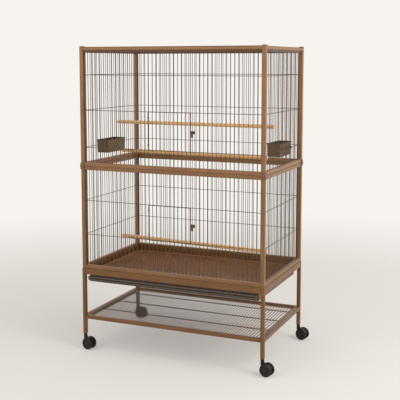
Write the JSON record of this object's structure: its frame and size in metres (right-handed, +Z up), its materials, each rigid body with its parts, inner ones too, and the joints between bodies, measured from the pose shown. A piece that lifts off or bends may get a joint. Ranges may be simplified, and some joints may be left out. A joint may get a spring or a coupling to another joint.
{
  "type": "bird cage on a wheeled stand",
  "caption": "Tall two-storey wire bird cage with doors, perches, feeder cups, a slide-out tray and a shelf, on a stand with twin-wheel casters.",
  "frame": {"origin": "on the floor, under the middle of the footprint with the wheels included", "axes": "+Z up, -Y towards the front with the doors, +X to the right seen from the front"},
  "size_m": [0.835, 0.5136, 1.2475],
  "materials": {
    "tube": "satin",
    "wire": "satin",
    "bracket": "matte",
    "tray": "satin",
    "cup": "satin",
    "perch": "matte",
    "caster": "satin",
    "tread": "matte",
    "steel": "satin",
    "sheet": "satin"
  },
  "bodies": {
    "cage": {"lower_left_side": "tube", "lower_right_side": "tube", "lower_front_panel": "wire", "lower_back_panel": "wire", "upper_left_side": "tube", "upper_right_side": "tube", "upper_front_panel": "wire", "upper_back_panel": "wire", "roof_panel": "wire", "post_cap_fl": "bracket", "corner_bracket_fl": "bracket", "leg_fl": "tube", "caster_stem_fl": "caster", "post_cap_fr": "bracket", "corner_bracket_fr": "bracket", "leg_fr": "tube", "caster_stem_fr": "caster", "post_cap_bl": "bracket", "corner_bracket_bl": "bracket", "leg_bl": "tube", "caster_stem_bl": "caster", "post_cap_br": "bracket", "corner_bracket_br": "bracket", "leg_br": "tube", "caster_stem_br": "caster", "stand_rail_front": "tube", "stand_rail_back": "tube", "stand_rail_left": "tube", "stand_rail_right": "tube", "storage_shelf": "tube", "tray_runner_left": "sheet", "tray_runner_right": "sheet", "floor_grille": "wire", "feeder_cup_left": "cup", "feeder_cup_right": "cup", "perch_top": "perch", "perch_middle": "perch", "perch_lower": "perch"},
    "tray": {"slide_out_tray": "tray"},
    "lower_door": {"lower_door": "wire"},
    "lower_latch": {"lower_latch": "wire"},
    "upper_door": {"upper_door": "wire"},
    "upper_latch": {"upper_latch": "wire"},
    "caster_fl": {"caster_hood_fl": "caster", "caster_axle_fl": "steel"},
    "wheel_fl_front": {"caster_wheel_fl_front": "tread"},
    "wheel_fl_back": {"caster_wheel_fl_back": "tread"},
    "caster_fr": {"caster_hood_fr": "caster", "caster_axle_fr": "steel"},
    "wheel_fr_front": {"caster_wheel_fr_front": "tread"},
    "wheel_fr_back": {"caster_wheel_fr_back": "tread"},
    "caster_bl": {"caster_hood_bl": "caster", "caster_axle_bl": "steel"},
    "wheel_bl_front": {"caster_wheel_bl_front": "tread"},
    "wheel_bl_back": {"caster_wheel_bl_back": "tread"},
    "caster_br": {"caster_hood_br": "caster", "caster_axle_br": "steel"},
    "wheel_br_front": {"caster_wheel_br_front": "tread"},
    "wheel_br_back": {"caster_wheel_br_back": "tread"}
  },
  "joints": [
    {"name": "tray_slide", "type": "slide", "parent": "cage", "child": "tray", "axis": [0, -1, 0], "range_m": [0, 0.4]},
    {"name": "lower_door_hinge", "type": "hinge", "parent": "cage", "child": "lower_door", "pos_m": [-0.10907, -0.23144, 0.5527], "axis": [0, 0, -1], "range_deg": [0, 125]},
    {"name": "lower_latch_turn", "type": "hinge", "parent": "cage", "child": "lower_latch", "pos_m": [0.08043, -0.23404, 0.5527], "axis": [0, 1, 0], "range_deg": [0, 90]},
    {"name": "upper_door_hinge", "type": "hinge", "parent": "cage", "child": "upper_door", "pos_m": [-0.10907, -0.23144, 0.91555], "axis": [0, 0, -1], "range_deg": [0, 125]},
    {"name": "upper_latch_turn", "type": "hinge", "parent": "cage", "child": "upper_latch", "pos_m": [0.08043, -0.23404, 0.91555], "axis": [0, 1, 0], "range_deg": [0, 90]},
    {"name": "caster_fl_swivel", "type": "hinge", "parent": "cage", "child": "caster_fl", "pos_m": [-0.40783, -0.22984, 0.02469], "axis": [0, 0, 1], "continuous": true},
    {"name": "wheel_fl_front_spin", "type": "hinge", "parent": "caster_fl", "child": "wheel_fl_front", "pos_m": [-0.38827, -0.234, 0.02469], "axis": [0.2079, 0.9781, 0], "continuous": true},
    {"name": "wheel_fl_back_spin", "type": "hinge", "parent": "caster_fl", "child": "wheel_fl_back", "pos_m": [-0.38827, -0.234, 0.02469], "axis": [0.2079, 0.9781, 0], "continuous": true},
    {"name": "caster_fr_swivel", "type": "hinge", "parent": "cage", "child": "caster_fr", "pos_m": [0.37017, -0.22984, 0.02469], "axis": [0, 0, 1], "continuous": true},
    {"name": "wheel_fr_front_spin", "type": "hinge", "parent": "caster_fr", "child": "wheel_fr_front", "pos_m": [0.38973, -0.234, 0.02469], "axis": [0.2079, 0.9781, 0], "continuous": true},
    {"name": "wheel_fr_back_spin", "type": "hinge", "parent": "caster_fr", "child": "wheel_fr_back", "pos_m": [0.38973, -0.234, 0.02469], "axis": [0.2079, 0.9781, 0], "continuous": true},
    {"name": "caster_bl_swivel", "type": "hinge", "parent": "cage", "child": "caster_bl", "pos_m": [-0.40783, 0.23816, 0.02469], "axis": [0, 0, 1], "continuous": true},
    {"name": "wheel_bl_front_spin", "type": "hinge", "parent": "caster_bl", "child": "wheel_bl_front", "pos_m": [-0.38827, 0.234, 0.02469], "axis": [0.2079, 0.9781, 0], "continuous": true},
    {"name": "wheel_bl_back_spin", "type": "hinge", "parent": "caster_bl", "child": "wheel_bl_back", "pos_m": [-0.38827, 0.234, 0.02469], "axis": [0.2079, 0.9781, 0], "continuous": true},
    {"name": "caster_br_swivel", "type": "hinge", "parent": "cage", "child": "caster_br", "pos_m": [0.37017, 0.23816, 0.02469], "axis": [0, 0, 1], "continuous": true},
    {"name": "wheel_br_front_spin", "type": "hinge", "parent": "caster_br", "child": "wheel_br_front", "pos_m": [0.38973, 0.234, 0.02469], "axis": [0.2079, 0.9781, 0], "continuous": true},
    {"name": "wheel_br_back_spin", "type": "hinge", "parent": "caster_br", "child": "wheel_br_back", "pos_m": [0.38973, 0.234, 0.02469], "axis": [0.2079, 0.9781, 0], "continuous": true}
  ]
}
